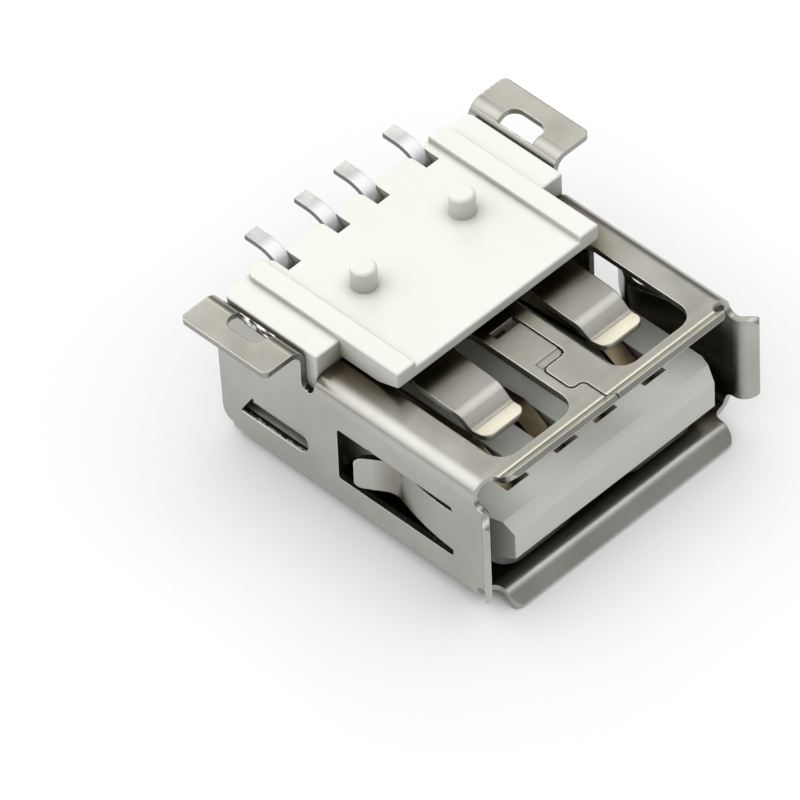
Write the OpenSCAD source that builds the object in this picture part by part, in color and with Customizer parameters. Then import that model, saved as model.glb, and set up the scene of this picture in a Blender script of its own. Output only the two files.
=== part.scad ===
// Surface-mount Type-A board socket, drawn board side up.
// X runs across the four contacts, the mouth faces -Y and the circuit board lies on z = 0.
// The origin is on the board plane, midway between the two locating pegs.

/* [Sheet metal] */
// Thickness of the shell's sheet
sheet_t = 0.25; // [0.2:0.01:0.32]
// Inside radius of the shell's main folds
fold_r = 0.45; // [0.3:0.05:0.55]
// Inside radius of the small bends in springs and catches
crease_r = 0.25; // [0.15:0.05:0.4]
// Gap where the two ends of the folded sheet meet
seam_gap = 0.08; // [0.04:0.01:0.14]

/* [Port] */
// Inside width of the port
port_w = 12.6; // [12.3:0.1:13.5]
// Inside height of the port
port_h = 5.22; // [5:0.02:5.8]
// Depth of the board-side plate below the board plane
shell_drop = 1.12; // [1.06:0.01:1.4]
// Peg line to the start of the flared mouth
mouth_reach = 9.56; // [9.4:0.05:10.6]
// Peg line forward to the rear edge of the board-side plate
plate_back = 1.4; // [1.2:0.05:1.6]
// Peg line back to the rear edge of the side walls
wall_back = 3.45; // [3.2:0.05:3.9]
// Radius at the lower rear corner of a side wall
wall_corner_r = 0.5; // [0.2:0.05:0.8]
// How far the foot of a wall's rear edge lies in front of its top
wall_rake = 0.15; // [0:0.05:0.3]

/* [Flared lips] */
// Angle of the flare
lip_angle = 45; // [30:1:55]
// Flat length of a lip past its bend
lip_flat = 0.58; // [0.3:0.02:0.9]
// Inside radius of a lip's bend
lip_r = 0.3; // [0.2:0.05:0.5]
// Width of the lip on the far plate
far_lip_w = 11.2; // [10:0.1:11.6]
// Width of the lip on the board-side plate
board_lip_w = 11; // [10:0.1:11.6]
// How far the board-side lip starts behind the others
board_lip_back = 0.15; // [0:0.05:0.3]
// Height of the two side lips
side_lip_h = 3.95; // [3.4:0.05:4.2]
// Corner radius of a lip
lip_corner_r = 0.4; // [0.1:0.05:0.6]
// Depth of the notch at each corner of the mouth, behind the start of the flare
notch_depth = 0.36; // [0.2:0.02:0.5]
// Radius at the ends of that notch
notch_r = 0.36; // [0.2:0.02:0.4]

/* [Solder tabs] */
// Overall width across both tabs
tab_span = 16.5; // [15.5:0.1:18]
// Peg line forward to the front edge of a tab
tab_front = 0.8; // [0.6:0.05:1]
// Corner radius of a tab
tab_corner_r = 0.25; // [0.1:0.05:0.7]
// Length of the slot through a tab's fold
tab_slot_l = 1.75; // [1:0.05:2.2]
// Peg line back to the middle of that slot
tab_slot_y = 1.3; // [1:0.05:1.6]
// Flat width of the slot beyond the fold
tab_slot_reach = 0.42; // [0.2:0.02:0.6]
// Depth of the relief between a tab and the port, below the board-side plate
relief_depth = 0.79; // [0.6:0.01:1.1]

/* [Leaf springs] */
// Middle of the port to the middle of a leaf's window
window_x = 3.02; // [2.9:0.02:3.2]
// Width of a leaf's window
window_w = 3.85; // [3.4:0.05:3.9]
// Length of a leaf's window
window_l = 5.7; // [5.2:0.1:6]
// Mouth to the front edge of a leaf's window
window_inset = 0.45; // [0.35:0.05:0.7]
// Corner radius of a leaf's window
window_r = 0.8; // [0.3:0.05:0.9]
// Width of a leaf at its root
leaf_w = 2.15; // [1.6:0.05:2.4]
// Width of a leaf at its tip
leaf_tip_w = 2; // [1.4:0.05:2.1]
// Length of a leaf's root, where it leaves the plate
leaf_root_l = 0.44; // [0.3:0.02:0.5]
// Length of a leaf's gentle slope
leaf_slope_l = 1.88; // [1.4:0.02:2]
// Length of a leaf's steep step
leaf_step_l = 0.48; // [0.3:0.02:0.7]
// Length of a leaf's tip
leaf_tip_l = 0.66; // [0.5:0.02:0.8]
// Corner radius at a leaf's tip
leaf_tip_r = 0.4; // [0.2:0.05:0.6]
// Angle of a leaf's root
leaf_root_angle = 18; // [10:0.5:20]
// Angle of a leaf's gentle slope
leaf_slope_angle = 3; // [1:0.5:6]
// Angle by which the step is steeper
leaf_step_angle = 30; // [20:1:35]
// Angle by which the tip turns back up
leaf_kick_angle = 42; // [30:1:50]
// Inside radius of the bend between a leaf's slope and its step
leaf_crest_r = 0.5; // [0.25:0.05:0.8]

/* [Side springs] */
// Height of a side window
side_window_h = 2.45; // [2.2:0.05:2.7]
// Length of a side window
side_window_l = 5.65; // [5.2:0.05:6]
// Mouth to the front end of a side window
side_window_inset = 1.4; // [1.2:0.05:1.8]
// Corner radius of a side window
side_window_r = 0.14; // [0.05:0.01:0.3]
// How far a side window sits below the middle of the port
side_window_shift = 0.06; // [0:0.02:0.2]
// Height of a side spring at its root
side_root_h = 1.93; // [1.5:0.01:2]
// Height of a side spring at its tip
side_tip_h = 1.5; // [0.9:0.05:1.6]
// How far a side spring's root sits above the middle of its window
side_root_rise = 0.06; // [0:0.02:0.1]
// How far a side spring's tip sits above its root
side_tip_rise = 0.04; // [0:0.02:0.1]
// Corner radius at a side spring's tip
side_tip_r = 0.3; // [0.1:0.05:0.4]
// Inside radius of a side spring's curved arm
side_arm_r = 11; // [9:0.5:12]
// Angle that the arm curves through
side_arm_angle = 14; // [10:0.5:15]
// Length between the arm's curve and the elbow
side_arm_l = 0.2; // [0.05:0.05:0.4]
// Inside radius of a side spring's elbow
side_elbow_r = 0.8; // [0.3:0.05:1]
// Length of a side spring past its elbow
side_tip_l = 1.2; // [0.9:0.02:1.4]
// Outward angle of a side spring's tip
side_tip_angle = 33; // [26:0.5:36]

/* [Retention catches] */
// Length of a catch in the side wall
catch_l = 3.4; // [2.8:0.1:3.6]
// Height of a catch's slot
catch_h = 1; // [0.7:0.05:1.2]
// Peg line back to the middle of a catch
catch_y = 0.7; // [0.6:0.05:0.8]
// Inside of the far plate to the lower edge of a catch's slot
catch_z = 1.33; // [1.1:0.01:1.5]
// How far a catch's upper rear corner lies in front of its lower one
catch_slant = 0.6; // [0.3:0.05:0.8]
// Inward angle of a catch
catch_angle = 28; // [15:1:35]
// Gap around a catch in its slot
catch_gap = 0.12; // [0.06:0.02:0.2]

/* [Seam key] */
// Middle of the port to the seam behind the key
seam_rear_x = 0.5; // [0.3:0.05:0.6]
// Middle of the port to the seam beside the key
seam_key_x = -0.68; // [-0.8:0.02:-0.5]
// Middle of the port to the seam in front of the key
seam_front_x = -0.1; // [-0.3:0.05:0.2]
// Mouth to the front end of the key
seam_key_front = 1.15; // [1:0.05:1.3]
// Length of the key
seam_key_l = 1.45; // [1.2:0.05:1.6]
// Radius of the rounds in the seam
seam_r = 0.2; // [0.1:0.05:0.25]
// Depth of the coined step behind the key
coin_depth = 0.04; // [0.02:0.01:0.08]
// Length of the coined step along the seam
coin_l = 0.36; // [0.2:0.02:0.5]
// Length of the slot across the strip under the slab's front edge
strip_slot_l = 0.35; // [0.2:0.05:0.5]
// Mouth to the front edge of that slot
strip_slot_inset = 4.8; // [4.6:0.05:5]

/* [Housing] */
// Clearance between housing and shell
fit_gap = 0.04; // [0.02:0.01:0.08]
// Peg line back to the rear face
housing_back = 3.35; // [3.1:0.05:3.6]
// Peg line forward to the base's front face
base_front = 1.33; // [1.1:0.02:1.38]
// Peg line forward to the slab's front face
slab_reach = 4.22; // [3.9:0.02:4.6]
// Width of the slab
slab_w = 10.18; // [9.8:0.02:10.6]
// Clearance between the slab and the board-side plate
slab_gap = 0.12; // [0.05:0.01:0.2]
// Height of the slab's front face below its middle
slab_nose_h = 0.42; // [0.3:0.02:0.6]
// Length of the slope under the slab's front edge
slab_nose_l = 1; // [0.6:0.05:1.3]
// Depth of the slab's middle below the board plane
middle_drop = 0.25; // [0.15:0.01:0.35]
// Width of the two rails that stand on the board
rail_w = 0.89; // [0.6:0.01:1.2]
// Corner radius at the housing's rear
rear_r = 0.4; // [0.2:0.05:0.5]
// Radius along the moulding's outer edges
edge_r = 0.08; // [0.04:0.01:0.12]
// Radius at the mouth of a tail's slot in the rear face
slot_mouth_r = 0.3; // [0.1:0.05:0.35]

/* [Locating pegs] */
// Distance between the pegs
peg_pitch = 5; // [4.6:0.1:5.4]
// Diameter of a peg
peg_d = 1; // [0.8:0.05:1.2]
// Height of a peg above the board plane
peg_h = 0.7; // [0.5:0.05:0.9]
// Radius round the top of a peg
peg_round = 0.15; // [0.1:0.05:0.25]

/* [Tongue] */
// Width of the tongue
tongue_w = 10.8; // [10.6:0.1:11.1]
// Width of the tongue's front face
tongue_tip_w = 10.2; // [9.8:0.1:10.5]
// Thickness of the tongue
tongue_t = 1.96; // [1.8:0.02:2.1]
// Gap between the tongue and the far plate
tongue_gap = 0.95; // [0.8:0.01:1.1]
// Peg line forward to the tongue's front face
tongue_reach = 9.8; // [9.5:0.05:10]
// Length of the tongue's lead-in at its sides and its lower face
lead_l = 0.9; // [0.7:0.05:1.1]
// Length of the lead-in at its upper face
lead_upper_l = 0.45; // [0.3:0.05:0.7]
// Height of the upper lead-in
lead_upper_h = 0.5; // [0.3:0.02:0.7]
// Height of the lower lead-in
lead_lower_h = 0.28; // [0.2:0.02:0.5]
// Depth of a contact's groove
groove_depth = 1.1; // [1.05:0.05:1.3]
// Tongue's front face to the front end of a groove
groove_inset = 1.36; // [1.2:0.02:1.5]

/* [Contacts] */
// Thickness of a contact's strip
contact_t = 0.22; // [0.15:0.01:0.25]
// Width of a contact's beam
beam_w = 0.8; // [0.7:0.05:1]
// Width of a contact's tail
tail_w = 0.6; // [0.4:0.02:0.8]
// Distance between the two outer contacts
outer_pitch = 7; // [6.8:0.05:7.4]
// Distance between the two inner contacts
inner_pitch = 2; // [1.8:0.05:2.2]
// Peg line back to a tail's tip
tail_reach = 4.66; // [4.4:0.02:5]
// Flat length of a tail's foot
foot_l = 0.6; // [0.4:0.02:0.8]
// Inside radius of a tail's sweep
tail_r = 1.38; // [1.1:0.02:1.5]
// Inside radius of the turn into the beam
turn_r = 0.3; // [0.2:0.05:0.4]
// Depth of the beam's top below the tongue's face where it leaves the base
beam_sink = 0.05; // [0.02:0.01:0.1]
// Length of a beam's rise past the base
beam_rise_l = 4.55; // [4.2:0.05:4.7]
// Length of a beam's dip at its tip
beam_dip_l = 2.1; // [1.7:0.05:2.2]
// Angle of a beam's rise
beam_rise_angle = 4.5; // [2:0.5:6]
// Angle of a beam's dip
beam_dip_angle = 29; // [20:1:30]
// Clearance around a contact in the housing
contact_gap = 0.02; // [0.01:0.01:0.05]
// Clearance beside a beam in its groove
groove_gap = 0.15; // [0.05:0.01:0.2]

/* [Hidden] */
$fn = 64;

// Room by which a cutting shape runs past what it cuts
past = 1;
// Length by which a folded piece runs on inside the sheet that it grows from
root = 0.3;
// Length trimmed off a spring's end, which leaves it square
trim = 0.03;

// Planes of the shell
wall_in = port_w / 2;
wall_out = wall_in + sheet_t;
fold_out_r = fold_r + sheet_t;
plate_top = -shell_drop;
roof_in = plate_top - sheet_t;
floor_in = roof_in - port_h;
floor_out = floor_in - sheet_t;
port_mid = (roof_in + floor_in) / 2;
mouth_y = -mouth_reach;
plate_back_y = -plate_back;
foot_back_y = wall_back - wall_rake;
floor_back_y = foot_back_y - wall_corner_r;
wall_foot = floor_out + fold_out_r;

// Relief between a tab and the port: a slot with a round end
relief_r = (plate_back - tab_front) / 2;
relief_z = plate_top - relief_depth + relief_r;

// Lips
lip_run = (lip_r + sheet_t) * sin(lip_angle) + lip_flat * cos(lip_angle);
lip_rise = lip_r * (1 - cos(lip_angle)) + lip_flat * sin(lip_angle);
board_lip_y = mouth_y + board_lip_back;
notch_y = mouth_y + notch_depth;

// Leaf windows
window_front_y = mouth_y + window_inset;
window_back_y = window_front_y + window_l;
leaf_low = leaf_slope_angle + leaf_step_angle;
leaf_end = leaf_low - leaf_kick_angle;
leaf_run = root + leaf_root_l * cos(leaf_root_angle) + leaf_slope_l * cos(leaf_slope_angle)
    + leaf_step_l * cos(leaf_low) + leaf_tip_l * cos(leaf_end)
    + (crease_r + sheet_t) * sin(leaf_root_angle)
    + crease_r * (sin(leaf_root_angle) - sin(leaf_slope_angle))
    + (leaf_crest_r + sheet_t) * (sin(leaf_low) - sin(leaf_slope_angle))
    + crease_r * (sin(leaf_low) - sin(leaf_end));

// Side windows
side_window_front = mouth_y + side_window_inset;
side_window_back = side_window_front + side_window_l;
side_window_mid = port_mid - side_window_shift;
side_run = root + (side_arm_r + sheet_t) * sin(side_arm_angle) + side_arm_l * cos(side_arm_angle)
    + side_elbow_r * (sin(side_arm_angle) + sin(side_tip_angle)) + side_tip_l * cos(side_tip_angle);

// Catches
catch_low = floor_in + catch_z;
catch_high = catch_low + catch_h;
catch_front = catch_y - catch_l / 2;
catch_rear = catch_y + catch_l / 2;
catch_reach = (catch_h - catch_gap) * sin(catch_angle) + sheet_t;

// Seam
key_front_y = mouth_y + seam_key_front;
key_back_y = key_front_y + seam_key_l;
strip_slot_y = mouth_y + strip_slot_inset;
seam_turn = seam_r + seam_gap / 2;

// Housing
base_w = port_w - 2 * fit_gap;
slab_low = plate_top + slab_gap;
slab_top = -middle_drop;
tongue_low = floor_in + tongue_gap;
tongue_top = tongue_low + tongue_t;
tongue_tip_y = -tongue_reach;

// Contacts
contact_x = [-outer_pitch / 2, -inner_pitch / 2, inner_pitch / 2, outer_pitch / 2];
tail_drop = tail_r + contact_t;
riser_y = tail_reach - foot_l - tail_drop;
beam_top = tongue_top - beam_sink;
riser_l = -beam_top - tail_drop - turn_r;
beam_start_y = riser_y - turn_r;
beam_seat_l = beam_start_y + base_front;

// Lay a flat drawing out along an axis, from one plane to another
module along_x(x0, x1) translate([x0, 0, 0]) rotate([90, 0, 90]) linear_extrude(x1 - x0) children();
module along_y(y0, y1) translate([0, y1, 0]) rotate([90, 0, 0]) linear_extrude(y1 - y0) children();
module along_z(z0, z1) translate([0, 0, z0]) linear_extrude(z1 - z0) children();

module both_sides() {
    children();
    mirror([1, 0, 0]) children();
}

module rounded_rect(w, h, r) {
    square([w - 2 * r, h], center = true);
    square([w, h - 2 * r], center = true);
    for (x = [-1, 1], y = [-1, 1]) translate([x * (w / 2 - r), y * (h / 2 - r)]) circle(r);
}

// What a round of radius r takes off a square corner at the origin that points to -x and -y
module corner_waste(r) difference() {
    translate([-past, -past]) square(past + r);
    translate([r, r]) circle(r);
}

// Ring about the origin from the +y or -y axis, on the side of +x, round by an angle
module bend(r_in, r_out, turn) intersection() {
    difference() {
        circle(r_out);
        circle(r_in);
    }
    translate([0, -2 * r_out]) square([2 * r_out, 4 * r_out]);
    rotate(turn) translate([-2 * r_out, -2 * r_out]) square([2 * r_out, 4 * r_out]);
}

// Edge view of a folded strip of thickness t that starts along +x on y = 0.
// Each step is [flat length, turn after it, inside radius], and a positive turn goes to +y.
module folded_strip(steps, t, i = 0) {
    length = steps[i][0];
    turn = steps[i][1];
    r = steps[i][2];
    square([length, t]);
    if (i + 1 < len(steps)) {
        centre = turn > 0 ? t + r : -r;
        translate([length, centre]) {
            bend(r, r + t, turn);
            rotate(turn) translate([0, -centre]) folded_strip(steps, t, i + 1);
        }
    }
}

// Turn a drawing over, so that its +x points to -x, or its +y to -y
module facing_back() mirror([1, 0]) children();
module facing_down() mirror([0, 1]) children();
// Swap a drawing's axes
module swapped() mirror([1, 0]) rotate(90) children();

module port_ring() translate([0, port_mid]) difference() {
    rounded_rect(port_w + 2 * sheet_t, port_h + 2 * sheet_t, fold_out_r);
    rounded_rect(port_w, port_h, fold_r);
}

// Side wall behind the board-side plate, up to the relief
module rear_wall() along_x(wall_in, wall_out) difference() {
    polygon([[plate_back_y, wall_foot], [foot_back_y, wall_foot], [wall_back, relief_z],
             [plate_back_y, relief_z]]);
    translate([foot_back_y, wall_foot]) facing_back() corner_waste(wall_corner_r);
    translate([plate_back_y + relief_r, relief_z]) circle(relief_r);
}

// Far plate and its two folds behind the board-side plate
module rear_floor() along_y(plate_back_y, floor_back_y) intersection() {
    port_ring();
    translate([-wall_out, floor_out]) square([2 * wall_out, fold_out_r]);
}

module tab_slot() {
    fold_x = wall_out + fold_r;
    slot_out = fold_x + tab_slot_reach;
    intersection() {
        along_y(tab_slot_y - tab_slot_l / 2, tab_slot_y + tab_slot_l / 2)
            polygon([[fold_x, -fold_out_r], [fold_x - 2 * fold_out_r, fold_out_r],
                     [slot_out, fold_out_r], [slot_out, -fold_out_r]]);
        along_z(-past, past) translate([slot_out - fold_out_r, tab_slot_y])
            rounded_rect(2 * fold_out_r, tab_slot_l, fold_r);
    }
}

// Wall above the relief, folded outwards into a solder tab whose face lies on the board plane
module solder_tab() {
    rise = -fold_out_r - relief_z;
    flat = tab_span / 2 - wall_out - fold_r;
    difference() {
        along_y(-tab_front, wall_back) translate([wall_in, relief_z]) swapped()
            folded_strip([[rise, 90, fold_r], [flat, 0, 0]], sheet_t);
        along_z(-sheet_t - past, past) {
            translate([tab_span / 2, -tab_front]) facing_back() corner_waste(tab_corner_r);
            translate([tab_span / 2, wall_back]) rotate(180) corner_waste(tab_corner_r);
        }
        tab_slot();
    }
}

module lip_strip() translate([0, -sheet_t])
    folded_strip([[root, lip_angle, lip_r], [lip_flat, 0, 0]], sheet_t);

// Flared lip of width w on the board-side plate, whose bend starts at y
module long_lip(w, y) intersection() {
    along_x(-w / 2, w / 2) translate([y + root, plate_top]) facing_back() lip_strip();
    along_z(roof_in - past, plate_top + lip_rise + past) translate([0, y - lip_run + w / 2])
        rounded_rect(w, w, lip_corner_r);
}

// Flared lip of height h on the +X wall
module side_lip(h) intersection() {
    along_z(port_mid - h / 2, port_mid + h / 2) translate([wall_out, mouth_y + root])
        rotate(-90) lip_strip();
    along_x(wall_in - past, wall_out + lip_rise + past)
        translate([mouth_y - lip_run + h / 2, port_mid]) rounded_rect(h, h, lip_corner_r);
}

// Plan of one end of a mouth notch, which opens to +x and -y, with its corner at the origin
module notch_end() difference() {
    translate([0, -notch_depth - past]) square([fold_out_r + past, notch_depth + past]);
    facing_down() corner_waste(notch_r);
}

// Notch round the fold at one corner of the mouth, between a lip of width w and the side lip
module corner_notch(w) {
    along_z(roof_in - fold_r / 2, plate_top + past) translate([w / 2, notch_y]) notch_end();
    along_x(wall_in - fold_r / 2, wall_out + past)
        translate([notch_y, port_mid + side_lip_h / 2]) swapped() notch_end();
}

// Leaf spring on the +X side of the board-side plate
module leaf_spring() intersection() {
    along_x(window_x - leaf_w / 2, window_x + leaf_w / 2)
        translate([window_back_y + root, plate_top]) facing_back() translate([0, -sheet_t])
        folded_strip([[root, -leaf_root_angle, crease_r],
                      [leaf_root_l, leaf_root_angle - leaf_slope_angle, crease_r],
                      [leaf_slope_l, -leaf_step_angle, leaf_crest_r],
                      [leaf_step_l, leaf_kick_angle, crease_r], [leaf_tip_l, 0, 0]], sheet_t);
    along_z(floor_in, plate_top + past) translate([window_x, window_back_y + root]) leaf_outline();
}

// Plan of a leaf from its root towards -y
module leaf_outline() {
    step_y = -root - leaf_root_l - leaf_slope_l;
    round_y = trim + leaf_tip_r - leaf_run;
    flat_w = leaf_tip_w - 2 * leaf_tip_r;
    polygon([[-leaf_w / 2, past], [leaf_w / 2, past], [leaf_w / 2, step_y],
             [leaf_tip_w / 2, round_y], [-leaf_tip_w / 2, round_y], [-leaf_w / 2, step_y]]);
    translate([-flat_w / 2, round_y - leaf_tip_r]) square([flat_w, 2 * leaf_tip_r]);
    for (x = [-1, 1]) translate([x * flat_w / 2, round_y]) circle(leaf_tip_r);
}

module leaf_window() along_z(roof_in - sheet_t, plate_top + sheet_t)
    translate([window_x, (window_front_y + window_back_y) / 2])
    rounded_rect(window_w, window_l, window_r);

// Spring in the +X wall, growing from the front end of its window
module side_spring() intersection() {
    along_z(floor_in, roof_in) translate([wall_out, side_window_front - root]) rotate(90)
        folded_strip([[root, side_arm_angle, side_arm_r],
                      [side_arm_l, -side_arm_angle - side_tip_angle, side_elbow_r],
                      [side_tip_l, 0, 0]], sheet_t);
    along_x(0, wall_out + side_tip_l)
        translate([side_window_front - root, side_window_mid + side_root_rise]) side_outline();
}

// Side view of a side spring from its root towards +x
module side_outline() {
    round_x = side_run - trim - side_tip_r;
    flat_h = side_tip_h - 2 * side_tip_r;
    polygon([[-past, -side_root_h / 2], [root, -side_root_h / 2],
             [round_x, side_tip_rise - side_tip_h / 2], [round_x, side_tip_rise + side_tip_h / 2],
             [root, side_root_h / 2], [-past, side_root_h / 2]]);
    translate([round_x - side_tip_r, side_tip_rise - flat_h / 2]) square([2 * side_tip_r, flat_h]);
    for (y = [-1, 1]) translate([round_x, side_tip_rise + y * flat_h / 2]) circle(side_tip_r);
}

module side_window() along_x(wall_in - sheet_t, wall_out + sheet_t)
    translate([(side_window_front + side_window_back) / 2, side_window_mid])
    rounded_rect(side_window_l, side_window_h, side_window_r);

// Side view of a catch's slot, or of the catch itself when it is drawn smaller by gap
module catch_outline(gap) {
    nose_r = (catch_h - gap) / 2;
    polygon([[catch_front + gap + nose_r, catch_low + gap], [catch_rear - gap, catch_low + gap],
             [catch_rear - gap - catch_slant, catch_high], [catch_front + gap + nose_r, catch_high]]);
    translate([catch_front + gap + nose_r, catch_high - nose_r]) circle(nose_r);
}

module catch_slot() along_x(wall_in - sheet_t, wall_out + sheet_t) catch_outline(0);

// Catch in the +X wall: a flap on its slot's upper edge, pushed inwards
module catch_flap() intersection() {
    along_y(catch_front, catch_rear) translate([wall_in, catch_high + root]) rotate(-90)
        folded_strip([[root, -catch_angle, crease_r], [catch_h, 0, 0]], sheet_t);
    union() {
        along_x(0, wall_out + past) catch_outline(catch_gap);
        along_x(wall_in, wall_out) translate([catch_front + catch_h / 2, catch_high])
            square([catch_l - catch_h - catch_slant, root]);
    }
}

// Seam between the two ends of the sheet.
// It runs from the plate's rear edge, round the key and out through the lip.
module seam_line() translate([seam_rear_x - seam_gap / 2, plate_back_y + root]) rotate(-90)
    folded_strip([[plate_back_y + root - key_back_y - seam_turn, -90, seam_r],
                  [seam_rear_x - seam_key_x - 2 * seam_turn, 90, seam_r],
                  [seam_key_l - 2 * seam_turn, 90, seam_r],
                  [seam_front_x - seam_key_x - 2 * seam_turn, -90, seam_r],
                  [seam_key_front + lip_run, 0, 0]], seam_gap);

module coined_step() along_z(plate_top - coin_depth, plate_top + past)
    translate([seam_key_x, key_back_y]) square([seam_rear_x - seam_key_x, coin_l]);

module strip_slot() along_z(roof_in - past, plate_top + past)
    translate([seam_key_x, strip_slot_y]) square([seam_rear_x - seam_key_x, strip_slot_l]);

// What the board-side plate loses in front of its lip's bend
module board_lip_room() along_z(roof_in - fold_r, plate_top + past)
    translate([-board_lip_w / 2, mouth_y - past]) square([board_lip_w, past + board_lip_back]);

// Turn a board-side feature over to the far plate
module far_side() translate([0, 0, 2 * port_mid]) mirror([0, 0, 1]) children();

module shell() color("silver") {
    difference() {
        union() {
            difference() {
                along_y(mouth_y, plate_back_y) port_ring();
                board_lip_room();
                both_sides() {
                    corner_notch(board_lip_w);
                    far_side() corner_notch(far_lip_w);
                }
            }
            rear_floor();
            long_lip(board_lip_w, board_lip_y);
            far_side() long_lip(far_lip_w, mouth_y);
            both_sides() {
                rear_wall();
                solder_tab();
                side_lip(side_lip_h);
            }
        }
        both_sides() {
            leaf_window();
            far_side() leaf_window();
            side_window();
            catch_slot();
        }
        along_z(roof_in - past, plate_top + lip_rise + past) seam_line();
        coined_step();
        strip_slot();
    }
    both_sides() {
        leaf_spring();
        far_side() leaf_spring();
        side_spring();
        catch_flap();
    }
}

// Tail of a contact from the tip of its foot to the start of its beam, grown all round by gap
module contact_tail(gap) along_x(-tail_w / 2 - gap, tail_w / 2 + gap)
    translate([tail_reach + gap, -contact_t - gap]) facing_back()
    folded_strip([[foot_l + gap, -90, tail_r - gap], [riser_l, 90, turn_r - gap],
                  [contact_t, 0, 0]], contact_t + 2 * gap);

// Beam of a contact from its seat in the base to its tip
module contact_beam() along_x(-beam_w / 2, beam_w / 2)
    translate([beam_start_y, beam_top - contact_t]) facing_back()
    folded_strip([[beam_seat_l, beam_rise_angle, crease_r],
                  [beam_rise_l, -beam_rise_angle - beam_dip_angle, crease_r],
                  [beam_dip_l, 0, 0]], contact_t);

module contact(i) color("goldenrod") translate([contact_x[i], 0, 0]) {
    contact_tail(0);
    contact_beam();
}

// Room for one contact: its own path, a way in from behind and a groove along the tongue
module contact_room() {
    contact_tail(contact_gap);
    along_x(-tail_w / 2 - contact_gap, tail_w / 2 + contact_gap)
        translate([riser_y - contact_gap, beam_top])
        square([housing_back - riser_y + past, past - beam_top]);
    along_x(-beam_w / 2 - contact_gap, beam_w / 2 + contact_gap)
        translate([-base_front - past, beam_top - contact_t])
        square([housing_back + base_front + 2 * past, contact_t + contact_gap]);
    along_x(-beam_w / 2 - groove_gap, beam_w / 2 + groove_gap)
        translate([tongue_tip_y + groove_inset, tongue_top - groove_depth])
        square([tongue_reach - groove_inset - base_front, groove_depth + past]);
    along_z(beam_top, past) translate([0, housing_back]) slot_mouth();
}

// Plan of the rounded mouth of a tail's slot, with the rear face through the origin
module slot_mouth() {
    mouth_x = tail_w / 2 + contact_gap + slot_mouth_r;
    difference() {
        translate([-mouth_x, -slot_mouth_r]) square([2 * mouth_x, slot_mouth_r + past]);
        for (x = [-1, 1]) translate([x * mouth_x, -slot_mouth_r]) circle(slot_mouth_r);
    }
}

// Block that fills the rear of the port and rises beside the slab
module base() difference() {
    along_y(-base_front, housing_back) difference() {
        translate([-base_w / 2, floor_in]) square([base_w, slab_top - floor_in]);
        both_sides() translate([-base_w / 2, floor_in]) corner_waste(fold_r + fit_gap);
        both_sides() translate([-base_w / 2, slab_top]) facing_down() corner_waste(edge_r);
    }
    along_x(-base_w, base_w) translate([-base_front, slab_top]) facing_down() corner_waste(edge_r);
    both_sides() along_z(floor_in - past, past) {
        translate([base_w / 2, housing_back]) rotate(180) corner_waste(rear_r);
        translate([base_w / 2, -base_front]) facing_back() corner_waste(edge_r);
    }
}

// Rail on the +X side of the slab, which stands on the board
module rail() difference() {
    along_y(-slab_reach, housing_back) difference() {
        translate([slab_w / 2 - rail_w, slab_low]) square([rail_w, -slab_low]);
        translate([slab_w / 2 - rail_w, 0]) facing_down() corner_waste(edge_r);
        translate([slab_w / 2, 0]) rotate(180) corner_waste(edge_r);
    }
    along_x(0, slab_w) translate([-slab_reach, 0]) facing_down() corner_waste(edge_r);
    along_z(slab_low - past, past) {
        translate([slab_w / 2, housing_back]) rotate(180) corner_waste(rear_r);
        translate([slab_w / 2, -slab_reach]) facing_back() corner_waste(edge_r);
    }
}

// Slab over the board-side plate, with a slope under its front edge
module slab() {
    middle_w = slab_w - rail_w;
    nose_z = slab_top - slab_nose_h;
    difference() {
        union() {
            along_x(-middle_w / 2, middle_w / 2) difference() {
                translate([-slab_reach, slab_low]) square([slab_reach, slab_top - slab_low]);
                translate([-slab_reach, slab_top]) facing_down() corner_waste(edge_r);
            }
            both_sides() rail();
        }
        along_x(-slab_w, slab_w) polygon([
            [-slab_reach - past, nose_z], [-slab_reach, nose_z], [slab_nose_l - slab_reach, slab_low],
            [slab_nose_l - slab_reach, slab_low - past], [-slab_reach - past, slab_low - past]]);
    }
}

module tongue() intersection() {
    along_x(-tongue_w / 2, tongue_w / 2) polygon([
        [0, tongue_top], [tongue_tip_y + lead_upper_l, tongue_top],
        [tongue_tip_y, tongue_top - lead_upper_h], [tongue_tip_y, tongue_low + lead_lower_h],
        [tongue_tip_y + lead_l, tongue_low], [0, tongue_low]]);
    along_z(tongue_low, tongue_top) polygon([
        [-tongue_w / 2, 0], [tongue_w / 2, 0], [tongue_w / 2, tongue_tip_y + lead_l],
        [tongue_tip_w / 2, tongue_tip_y], [-tongue_tip_w / 2, tongue_tip_y],
        [-tongue_w / 2, tongue_tip_y + lead_l]]);
}

module peg() translate([0, 0, slab_top]) rotate_extrude() {
    height = peg_h - slab_top;
    square([peg_d / 2, height - peg_round]);
    square([peg_d / 2 - peg_round, height]);
    intersection() {
        translate([peg_d / 2 - peg_round, height - peg_round]) circle(peg_round);
        square([peg_d, height]);
    }
}

// Pocket that a catch reaches into
module catch_pocket() translate([wall_in - catch_reach, catch_front, catch_low])
    cube([catch_reach + past, catch_l, catch_h + catch_gap]);

module housing() color("ivory") difference() {
    union() {
        base();
        slab();
        tongue();
        for (x = [-1, 1]) translate([x * peg_pitch / 2, 0, 0]) peg();
    }
    for (x = contact_x) translate([x, 0, 0]) contact_room();
    both_sides() catch_pocket();
}

shell();
housing();
contact(0);  // contact_1
contact(1);  // contact_2
contact(2);  // contact_3
contact(3);  // contact_4
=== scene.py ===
import math

import bmesh
import bpy
from mathutils import Matrix, Vector

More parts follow.
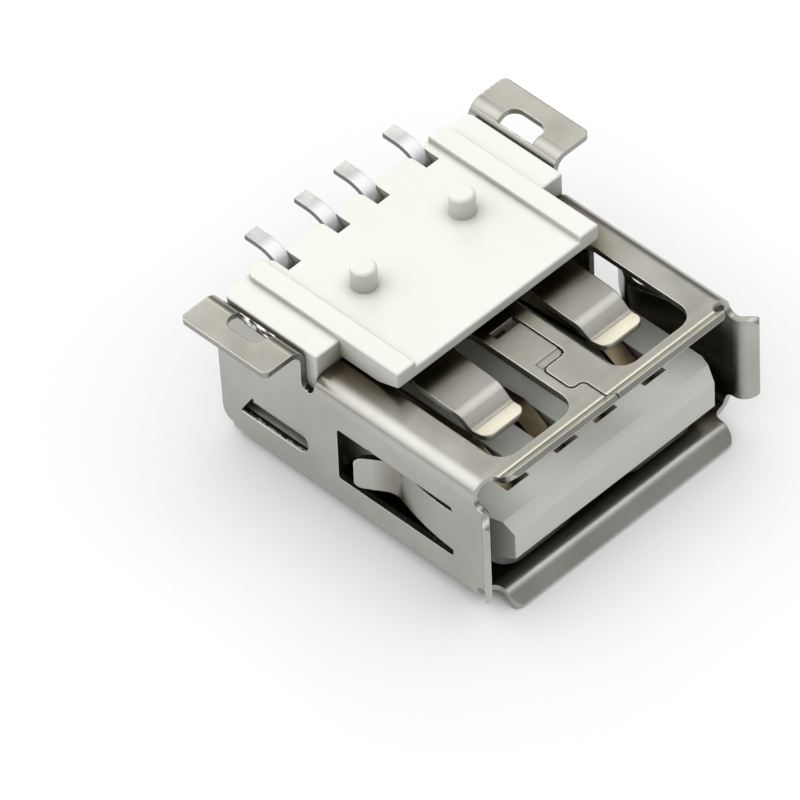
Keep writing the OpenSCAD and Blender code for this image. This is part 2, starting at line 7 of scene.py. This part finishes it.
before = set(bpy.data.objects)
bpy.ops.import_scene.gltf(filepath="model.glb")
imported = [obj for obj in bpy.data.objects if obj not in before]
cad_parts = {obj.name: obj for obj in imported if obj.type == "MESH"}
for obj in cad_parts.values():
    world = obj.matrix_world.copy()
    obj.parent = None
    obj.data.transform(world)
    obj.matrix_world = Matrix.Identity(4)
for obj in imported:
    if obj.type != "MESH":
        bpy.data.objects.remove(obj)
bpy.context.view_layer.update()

MM = 0.001

# Camera, as the photograph sees the socket
CAMERA_AZIMUTH = math.radians(-43.866)
CAMERA_ELEVATION = math.radians(45.766)
CAMERA_ROLL = math.radians(-2.497)
CAMERA_DISTANCE = 411.23 * MM
CAMERA_ACROSS = -0.465 * MM
CAMERA_UP = -5.602 * MM
CAMERA_LENS = 522.1
CAMERA_SENSOR = 36.0
CAMERA_NEAR = 0.01
CAMERA_FAR = 20.0

# Floor: the socket rests on the far lip and on the rear edge of its far plate
LIP_REST = Vector((0, -10.15, -7.345)) * MM
PLATE_REST = Vector((0, 2.8, -6.84)) * MM
FLOOR_HALF = 2.0
FLOOR_COLOUR = (0.55, 0.55, 0.55, 1)
FLOOR_ROUGHNESS = 0.9
SHADOW_REACH = 8.0 * MM
SHADOW_OPENNESS = (0.1, 1.0)

# Light tent: the roof, its bright left rear, a bright patch high on the right and a faint one in front;
# each has its middle, the cosines of the angles where it fades out and is full, and its levels there
TENT_PATCHES = (
    (Vector((-0.1, 0.2, 0.97)), (0.28, 0.92), (0.16, 0.835)),
    (Vector((-0.47, 0.53, 0.70)), (0.66, 0.97), (0.0, 1.13)),
    (Vector((0.48, -0.06, 0.87)), (0.84, 0.98), (0.0, 0.9)),
    (Vector((0.2, -0.9, 0.4)), (0.6, 0.95), (0.0, 0.26)),
)
TENT_COLOUR = (1, 1, 1, 1)
HORIZON_LEVEL = 0.85
HORIZON_HEIGHTS = (0.03, 0.14)

# Lamp at the right rear, which faces the socket
LAMP_AIM = Vector((0, -3.5, -3.3)) * MM
LAMP_TOWARDS = Vector((0.48, 0.71, 0.49))
LAMP_DISTANCE = 0.35
LAMP_SIZE = 0.14
LAMP_RADIANCE = 2.4
LAMP_TINT = (1.0, 0.96, 0.82)

# Samples for the shade in recesses and for softened edges
SHADE_SAMPLES = 8
EDGE_SAMPLES = 6

# Slopes, as cosines: a face over SQUARE is square to an axis, a face of the sheet under EDGE
# is one of its sheared edges, and a face over SLOPE leans towards an axis
SQUARE = 0.7
EDGE = 0.6
SLOPE = 0.3

# Middle of the port, and from there to the start of the walls' folds
PORT_MID_Z = -3.98 * MM
FOLD_START = 2.16 * MM

# Walls and side springs lie past the first; their sheared edges are fully dark past the second
SPRING_X = 5.4 * MM
DARK_EDGE_X = 6.0 * MM
PLATE_EDGE_SHADE = 0.3
SPRING_EDGE_SHADE = 0.6

# The side springs get darker, as painted shade, from the walls' outer faces inwards
SPRING_DARK_X = 6.1 * MM
WALL_OUTER_X = 6.55 * MM
SPRING_DARKEST = 0.4

# Flats and front edges of the tabs, roots of the lips, and the ends of the walls' holes
TAB_FLAT_X = 7.0 * MM
TAB_FRONT_Y = -0.8 * MM
LIP_ROOT_Y = -9.15 * MM
LIP_FADE = 0.3 * MM
HOLES_REAR_Y = 3.0 * MM
CATCH_FRONT_Y = -1.1 * MM

# The lower rim of a catch's slot has a painted glint outwards from here, with a ragged border
RIM_GLINT_X = (6.43 * MM, 6.47 * MM)
RIM_GLINT_SPREAD = 0.4 * MM

# Nickel-plated sheet; patterns have a number of patches to a metre along X, Y and Z
NICKEL_LIGHT = (0.48, 0.475, 0.44, 1)
NICKEL_DARK = (0.41, 0.405, 0.365, 1)
# Edge colour: partly wear, partly a painted highlight along the rounded-off edges
NICKEL_WORN_AND_HIGHLIT = (0.80, 0.79, 0.75, 1)
# Painted shade in recesses, by the slab and on the side springs
NICKEL_PAINTED_SHADE = (0.115, 0.094, 0.06, 1)
SHEARED_DARK = (0.05, 0.043, 0.032, 1)
SHEARED_LIGHT = (0.11, 0.10, 0.078, 1)
# Painted glint on slot rims
PAINTED_GLINT = (0.86, 0.85, 0.82, 1)
CLOUD_PATCHES = (420, 420, 420)
CLOUD_TONES = (0.35, 0.65)
CLOUD_GLOSS = (0.3, 0.7)
TORN_PATCHES = (7000, 7000, 7000)
TORN_TONES = (0.5, 0.72)
STREAK_PATCHES = (9000, 2200, 9000)
STREAK_TONES = (0.42, 0.6)
RIPPLE_PATCHES = (1500, 320, 1500)
RIPPLE_DEPTH = 0.002 * MM
GRAIN_PATCHES = (11000, 11000, 11000)
GRAIN_DEPTH = 0.003 * MM
SHEET_ROUGHNESS = (0.20, 0.28)
LIP_ROUGHNESS = 0.3
SHEARED_ROUGHNESS = 0.5
SHEET_EDGE_R = 0.07 * MM
WORN_AND_HIGHLIT_SLOPES = (0.78, 0.95)
# Painted shade by the slab and in the sheet's recesses: reaches and openness ranges
SLAB_SHADE_REACH = 3.0 * MM
SLAB_SHADE = (0.68, 0.98)
SHEET_SHADE_REACH = 2.5 * MM
SHEET_SHADE = (0.0, 0.4)

# White moulding
MOULDING_LIGHT = (0.90, 0.92, 0.855, 1)
MOULDING_DARK = (0.85, 0.87, 0.80, 1)
# Painted shade in recesses of the moulding
MOULDING_PAINTED_SHADE = (0.17, 0.16, 0.115, 1)
FLOW_PATCHES = (260, 120, 260)
SPARK_PATCHES = (14000, 14000, 14000)
SPARK_DEPTH = 0.003 * MM
MOULDING_ROUGHNESS = 0.42
MOULDING_EDGE_R = 0.04 * MM
MOULDING_SHADE_REACH = 3.0 * MM
MOULDING_SHADE = (0.1, 0.88)

# Contacts: gold beams, tinned behind TIN_START_Y
GOLD_LIGHT = (0.34, 0.28, 0.18, 1)
GOLD_DARK = (0.20, 0.16, 0.10, 1)
# Painted shade in recesses of the gold beams
GOLD_PAINTED_SHADE = (0.05, 0.04, 0.022, 1)
TIN_LIGHT = (0.68, 0.69, 0.70, 1)
TIN_DARK = (0.56, 0.57, 0.58, 1)
STRIP_SIDE = (0.17, 0.165, 0.16, 1)
TIN_START_Y = 1.5 * MM
TIN_FADE = 0.1 * MM
STAIN_PATCHES = (900, 900, 900)
STAIN_GLOSS = (0.3, 0.7)
STRIP_ROUGHNESS = (0.18, 0.30)
DRAW_PATCHES = (18000, 2500, 18000)
DRAW_DEPTH = 0.001 * MM
STRIP_EDGE_R = 0.03 * MM
GOLD_SHADE_REACH = 1.5 * MM
GOLD_SHADE = (0.15, 0.65)


def view_axes():
    """Right, up and backward directions of the camera."""
    back = Vector((
        math.sin(CAMERA_AZIMUTH) * math.cos(CAMERA_ELEVATION),
        -math.cos(CAMERA_AZIMUTH) * math.cos(CAMERA_ELEVATION),
        math.sin(CAMERA_ELEVATION),
    ))
    level_right = Vector((0, 0, 1)).cross(back).normalized()
    level_up = back.cross(level_right)
    right = level_right * math.cos(CAMERA_ROLL) + level_up * math.sin(CAMERA_ROLL)
    up = level_up * math.cos(CAMERA_ROLL) - level_right * math.sin(CAMERA_ROLL)
    return right, up, back


def place_camera():
    right, up, back = view_axes()
    data = bpy.data.cameras.new("photo_camera")
    data.sensor_fit = "HORIZONTAL"
    data.sensor_width = CAMERA_SENSOR
    data.lens = CAMERA_LENS
    data.clip_start = CAMERA_NEAR
    data.clip_end = CAMERA_FAR
    camera = bpy.data.objects.new("photo_camera", data)
    turn = Matrix((right, up, back)).transposed()
    camera.matrix_world = turn.to_4x4()
    camera.location = back * CAMERA_DISTANCE + right * CAMERA_ACROSS + up * CAMERA_UP
    bpy.context.scene.collection.objects.link(camera)
    bpy.context.scene.camera = camera


class Graph:
    """Makes and joins the nodes of a material or of the world."""

    def __init__(self, tree):
        self.nodes = tree.nodes
        self.links = tree.links

    def add(self, kind, **values):
        node = self.nodes.new(kind)
        for key, value in values.items():
            setattr(node, key, value)
        return node

    def join(self, output, target):
        self.links.new(output, target)

    def plug(self, value, socket):
        """Gives a socket a number, a colour, a direction or another node's output."""
        if isinstance(value, bpy.types.NodeSocket):
            self.join(value, socket)
        else:
            socket.default_value = value

    def calc(self, operation, *values):
        node = self.add("ShaderNodeMath", operation=operation)
        for value, socket in zip(values, node.inputs):
            self.plug(value, socket)
        return node.outputs[0]

    def times(self, first, *others):
        for other in others:
            first = self.calc("MULTIPLY", first, other)
        return first

    def above(self, value, limit):
        """1 where the value is over the limit, 0 elsewhere."""
        return self.calc("GREATER_THAN", value, limit)

    def below(self, value, limit):
        """1 where the value is under the limit, 0 elsewhere."""
        return self.calc("LESS_THAN", value, limit)

    def unsigned(self, value):
        return self.calc("ABSOLUTE", value)

    def split(self, vector):
        node = self.add("ShaderNodeSeparateXYZ")
        self.join(vector, node.inputs["Vector"])
        return node.outputs

    def cosine(self, first, second):
        """Cosine of the angle between a node's direction and another node's or a fixed one."""
        node = self.add("ShaderNodeVectorMath", operation="DOT_PRODUCT")
        self.join(first, node.inputs[0])
        self.plug(second, node.inputs[1])
        return node.outputs["Value"]

    def ramp(self, value, span, start=0, end=1):
        """Runs from start to end as the value goes through the span."""
        node = self.add("ShaderNodeMapRange", clamp=True)
        self.join(value, node.inputs["Value"])
        node.inputs["From Min"].default_value = span[0]
        node.inputs["From Max"].default_value = span[1]
        node.inputs["To Min"].default_value = start
        node.inputs["To Max"].default_value = end
        return node.outputs["Result"]

    def blend(self, factor, first, second):
        """Colour between first and second; each is a colour or another node's output."""
        node = self.add("ShaderNodeMix", data_type="RGBA")
        self.join(factor, node.inputs[0])
        self.plug(first, node.inputs[6])
        self.plug(second, node.inputs[7])
        return node.outputs[2]

    def between(self, factor, first, second):
        """Number between first and second."""
        node = self.add("ShaderNodeMix")
        self.join(factor, node.inputs[0])
        self.plug(first, node.inputs[2])
        self.plug(second, node.inputs[3])
        return node.outputs[0]


class Finish(Graph):
    """A node material around one Principled shader."""

    def __init__(self, name):
        self.material = bpy.data.materials.new(name)
        self.material.use_nodes = True
        super().__init__(self.material.node_tree)
        self.shader = self.nodes["Principled BSDF"]
        coordinates = self.add("ShaderNodeTexCoord")
        self.place = coordinates.outputs["Object"]
        self.facing = coordinates.outputs["Normal"]

    def noise(self, patches, detail=2.0):
        """Cloudy pattern with the given number of patches to a metre along X, Y and Z."""
        mapping = self.add("ShaderNodeMapping")
        mapping.inputs["Scale"].default_value = patches
        self.join(self.place, mapping.inputs["Vector"])
        node = self.add("ShaderNodeTexNoise")
        node.inputs["Scale"].default_value = 1.0
        node.inputs["Detail"].default_value = detail
        self.join(mapping.outputs["Vector"], node.inputs["Vector"])
        return node.outputs["Fac"]

    def relief(self, height, depth, normal):
        """Bump of the given depth in metres over a normal."""
        node = self.add("ShaderNodeBump")
        node.inputs["Distance"].default_value = depth
        self.join(height, node.inputs["Height"])
        self.join(normal, node.inputs["Normal"])
        return node.outputs["Normal"]

    def open_air(self, reach, span):
        """0 deep in a recess, 1 where little stands within reach."""
        node = self.add("ShaderNodeAmbientOcclusion", samples=SHADE_SAMPLES)
        node.inputs["Distance"].default_value = reach
        return self.ramp(node.outputs["AO"], span)

    def soft_edges(self, radius):
        """Normal that rounds off the edges."""
        node = self.add("ShaderNodeBevel", samples=EDGE_SAMPLES)
        node.inputs["Radius"].default_value = radius
        return node.outputs["Normal"]

    def set(self, **values):
        for key, value in values.items():
            self.shader.inputs[key.replace("_", " ")].default_value = value

    def feed(self, key, output):
        self.join(output, self.shader.inputs[key])


class Sheet(Finish):
    """Finish of the shell, which knows where a point lies on the folded sheet and how it faces."""

    def __init__(self, name):
        super().__init__(name)
        self.x, self.y, self.z = self.split(self.place)
        normal = self.split(self.facing)
        self.normal_x = normal["X"]
        self.normal_z = normal["Z"]
        self.across = self.unsigned(self.x)
        off_mid = self.unsigned(self.calc("SUBTRACT", self.z, PORT_MID_Z))
        self.between_folds = self.below(off_mid, FOLD_START)

    def sheared(self):
        """1 on the edges sheared through the walls, less on those of the springs and plates."""
        upright = self.unsigned(self.normal_x)
        level = self.unsigned(self.normal_z)
        beside = self.above(self.across, SPRING_X)
        in_wall = self.times(beside, self.between_folds)
        in_tab = self.above(self.across, TAB_FLAT_X)
        in_plate = self.calc("MAXIMUM", self.calc("SUBTRACT", 1.0, beside), in_tab)
        flat = self.between(in_plate, self.calc("MAXIMUM", upright, level), level)
        flat = self.between(in_wall, flat, upright)
        behind_lips = self.above(self.y, LIP_ROOT_Y)
        in_hole = self.times(in_wall, self.below(self.y, HOLES_REAR_Y))
        darkness = self.between(in_hole, PLATE_EDGE_SHADE, 1.0)
        outwards = self.ramp(self.across, (SPRING_X, DARK_EDGE_X), SPRING_EDGE_SHADE, 1)
        return self.times(self.below(flat, EDGE), behind_lips, darkness, outwards)

    def tab_slot(self):
        """1 on the outward and upward faces in the slots of the tabs' folds, which get a painted glint.
        """
        outward = self.times(self.normal_x, self.calc("SIGN", self.x))
        leaning = self.above(self.calc("MINIMUM", outward, self.normal_z), SLOPE)
        return self.times(leaning, self.above(self.y, TAB_FRONT_Y))

    def catch_rim(self):
        """1 on the lower rims of the catches' slots."""
        behind = self.above(self.y, CATCH_FRONT_Y)
        return self.times(self.between_folds, behind, self.above(self.normal_z, SQUARE))

    def ragged(self, torn):
        """1 on the outer side of a rim, up to a ragged border: where the rim gets its painted glint."""
        teeth = self.times(self.calc("SUBTRACT", torn, 0.5), RIM_GLINT_SPREAD)
        return self.ramp(self.calc("ADD", self.across, teeth), RIM_GLINT_X)

    def worn_and_highlit(self, softened):
        """1 along the edges that a softened normal rounds off, where edge wear and a painted highlight
        go; 0 on flat faces.
        """
        return self.ramp(self.cosine(self.facing, softened), WORN_AND_HIGHLIT_SLOPES, 1, 0)

    def unshaded(self):
        """1 on open faces; less, as painted shade, in recesses, by the slab and on the side springs."""
        board_side = self.above(self.normal_z, SQUARE)
        by_slab = self.between(board_side, 1.0, self.open_air(SLAB_SHADE_REACH, SLAB_SHADE))
        openness = self.times(self.open_air(SHEET_SHADE_REACH, SHEET_SHADE), by_slab)
        lip = self.ramp(self.y, (LIP_ROOT_Y - LIP_FADE, LIP_ROOT_Y), 1, 0)
        openness = self.calc("MAXIMUM", openness, lip)
        outwards = self.ramp(self.across, (SPRING_DARK_X, WALL_OUTER_X), SPRING_DARKEST, 1)
        return self.times(openness, self.between(self.between_folds, 1.0, outwards))


def nickel_sheet():
    """Rolled steel sheet with a satin nickel plate: worn edges with a painted highlight, painted shade in
    recesses, painted glints on slot rims, and dark where sheared.
    """
    sheet = Sheet("nickel_sheet")
    sheet.set(Metallic=1.0)
    clouds = sheet.noise(CLOUD_PATCHES, detail=4.0)
    torn = sheet.noise(TORN_PATCHES)
    streaks = sheet.noise(STREAK_PATCHES)
    softened = sheet.soft_edges(SHEET_EDGE_R)
    edge = sheet.sheared()
    rolled = sheet.blend(sheet.ramp(clouds, CLOUD_TONES), NICKEL_DARK, NICKEL_LIGHT)
    # Edge wear and a painted highlight along the rounded-off edges
    rolled = sheet.blend(sheet.worn_and_highlit(softened), rolled, NICKEL_WORN_AND_HIGHLIT)
    # Painted shade in recesses, by the slab and on the side springs
    rolled = sheet.blend(sheet.unshaded(), NICKEL_PAINTED_SHADE, rolled)
    sheared = sheet.blend(sheet.ramp(torn, TORN_TONES), SHEARED_DARK, SHEARED_LIGHT)
    # Painted glint on the outer side of the catches' lower rims
    rim = sheet.blend(sheet.ragged(torn), SHEARED_DARK, PAINTED_GLINT)
    sheared = sheet.blend(sheet.catch_rim(), sheared, rim)
    # Painted glint in streaks, used on the faces in the tabs' slots
    glint = sheet.blend(sheet.ramp(streaks, STREAK_TONES), SHEARED_DARK, PAINTED_GLINT)
    colour = sheet.blend(edge, rolled, sheared)
    sheet.feed("Base Color", sheet.blend(sheet.tab_slot(), colour, glint))
    formed = sheet.ramp(sheet.y, (LIP_ROOT_Y, LIP_ROOT_Y + LIP_FADE), 1, 0)
    satin = sheet.ramp(clouds, CLOUD_GLOSS, *SHEET_ROUGHNESS)
    satin = sheet.between(formed, satin, LIP_ROUGHNESS)
    sheet.feed("Roughness", sheet.between(edge, satin, SHEARED_ROUGHNESS))
    rippled = sheet.relief(sheet.noise(RIPPLE_PATCHES), RIPPLE_DEPTH, softened)
    grain = sheet.times(sheet.noise(GRAIN_PATCHES), formed)
    sheet.feed("Normal", sheet.relief(grain, GRAIN_DEPTH, rippled))
    return sheet.material


def white_moulding():
    """Off-white moulded plastic with a faint flow pattern, a fine spark finish and painted shade in
    recesses.
    """
    finish = Finish("white_moulding")
    finish.set(Roughness=MOULDING_ROUGHNESS)
    flow = finish.noise(FLOW_PATCHES, detail=3.0)
    face = finish.blend(flow, MOULDING_DARK, MOULDING_LIGHT)
    openness = finish.open_air(MOULDING_SHADE_REACH, MOULDING_SHADE)
    finish.feed("Base Color", finish.blend(openness, MOULDING_PAINTED_SHADE, face))
    softened = finish.soft_edges(MOULDING_EDGE_R)
    finish.feed("Normal", finish.relief(finish.noise(SPARK_PATCHES), SPARK_DEPTH, softened))
    return finish.material


def contact_strip():
    """Contact strip: gold on the beam with painted shade in recesses, bright tin on the tail, dark
    sheared sides.
    """
    finish = Finish("contact_strip")
    finish.set(Metallic=1.0)
    stains = finish.noise(STAIN_PATCHES, detail=3.0)
    gold = finish.blend(stains, GOLD_DARK, GOLD_LIGHT)
    gold = finish.blend(finish.open_air(GOLD_SHADE_REACH, GOLD_SHADE), GOLD_PAINTED_SHADE, gold)
    tin = finish.blend(stains, TIN_DARK, TIN_LIGHT)
    y = finish.split(finish.place)["Y"]
    tail = finish.ramp(y, (TIN_START_Y - TIN_FADE, TIN_START_Y + TIN_FADE))
    side = finish.above(finish.unsigned(finish.split(finish.facing)["X"]), SQUARE)
    finish.feed("Base Color", finish.blend(side, finish.blend(tail, gold, tin), STRIP_SIDE))
    finish.feed("Roughness", finish.ramp(stains, STAIN_GLOSS, *STRIP_ROUGHNESS))
    softened = finish.soft_edges(STRIP_EDGE_R)
    finish.feed("Normal", finish.relief(finish.noise(DRAW_PATCHES), DRAW_DEPTH, softened))
    return finish.material


def dress(node, material):
    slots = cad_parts[node].data.materials
    slots.clear()
    slots.append(material)


def seen_directly(finish):
    """1 for rays from the camera, mirrors and glass, 0 for light that is bounced about."""
    path = finish.add("ShaderNodeLightPath")
    total = path.outputs["Is Camera Ray"]
    for name in ("Is Glossy Ray", "Is Transmission Ray"):
        total = finish.calc("MAXIMUM", total, path.outputs[name])
    return total


def pale_floor():
    """White floor under the socket: near the socket its glow fades out as a painted shadow, down to the
    grey lit floor that shows the real shadow.
    """
    finish = Finish("pale_floor")
    finish.set(Base_Color=FLOOR_COLOUR, Roughness=FLOOR_ROUGHNESS, Specular_IOR_Level=0.0)
    glow = finish.add("ShaderNodeEmission")
    # Painted shadow: the glow fades where the socket stands within reach
    open_floor = finish.open_air(SHADOW_REACH, SHADOW_OPENNESS)
    mixed = finish.add("ShaderNodeMixShader")
    finish.join(finish.times(seen_directly(finish), open_floor), mixed.inputs[0])
    finish.join(finish.shader.outputs[0], mixed.inputs[1])
    finish.join(glow.outputs[0], mixed.inputs[2])
    finish.join(mixed.outputs[0], finish.nodes["Material Output"].inputs["Surface"])
    return finish.material


def lay_floor():
    """Flat sheet through the two lines on which the socket rests."""
    run = PLATE_REST - LIP_REST
    tilt = Matrix.Rotation(math.atan2(run.z, run.y), 4, "X")
    sheet = bmesh.new()
    bmesh.ops.create_grid(sheet, x_segments=1, y_segments=1, size=FLOOR_HALF,
                          matrix=Matrix.Translation(LIP_REST) @ tilt)
    data = bpy.data.meshes.new("floor")
    sheet.to_mesh(data)
    sheet.free()
    data.materials.append(pale_floor())
    floor = bpy.data.objects.new("floor", data)
    bpy.context.scene.collection.objects.link(floor)


def light_world():
    """Inside of a light tent: bright overhead, dim low down, pale at the horizon."""
    world = bpy.data.worlds.new("light_tent")
    bpy.context.scene.world = world
    world.use_nodes = True
    graph = Graph(world.node_tree)
    direction = graph.add("ShaderNodeTexCoord").outputs["Generated"]
    level = 0.0
    for towards, span, levels in TENT_PATCHES:
        patch = graph.ramp(graph.cosine(direction, towards.normalized()), span, *levels)
        level = graph.calc("ADD", level, patch)
    height = graph.unsigned(graph.split(direction)["Z"])
    horizon = graph.ramp(height, HORIZON_HEIGHTS, HORIZON_LEVEL, 0)
    background = graph.nodes["Background"]
    background.inputs["Color"].default_value = TENT_COLOUR
    graph.join(graph.calc("MAXIMUM", level, horizon), background.inputs["Strength"])


def hang_lamp():
    """Square lamp at the right rear of the socket, facing it."""
    data = bpy.data.lights.new("behind", "AREA")
    data.size = LAMP_SIZE
    data.energy = LAMP_RADIANCE * math.pi * LAMP_SIZE * LAMP_SIZE
    data.color = LAMP_TINT
    lamp = bpy.data.objects.new("behind", data)
    aim = LAMP_TOWARDS.normalized()
    lamp.location = LAMP_AIM + aim * LAMP_DISTANCE
    lamp.rotation_euler = aim.to_track_quat("Z", "Y").to_euler()
    bpy.context.scene.collection.objects.link(lamp)


def main():
    bpy.context.scene.view_settings.view_transform = "Standard"
    place_camera()
    lay_floor()
    light_world()
    hang_lamp()
    dress("shell", nickel_sheet())
    dress("housing", white_moulding())
    strip = contact_strip()
    for number in (1, 2, 3, 4):
        dress(f"contact_{number}", strip)


main()
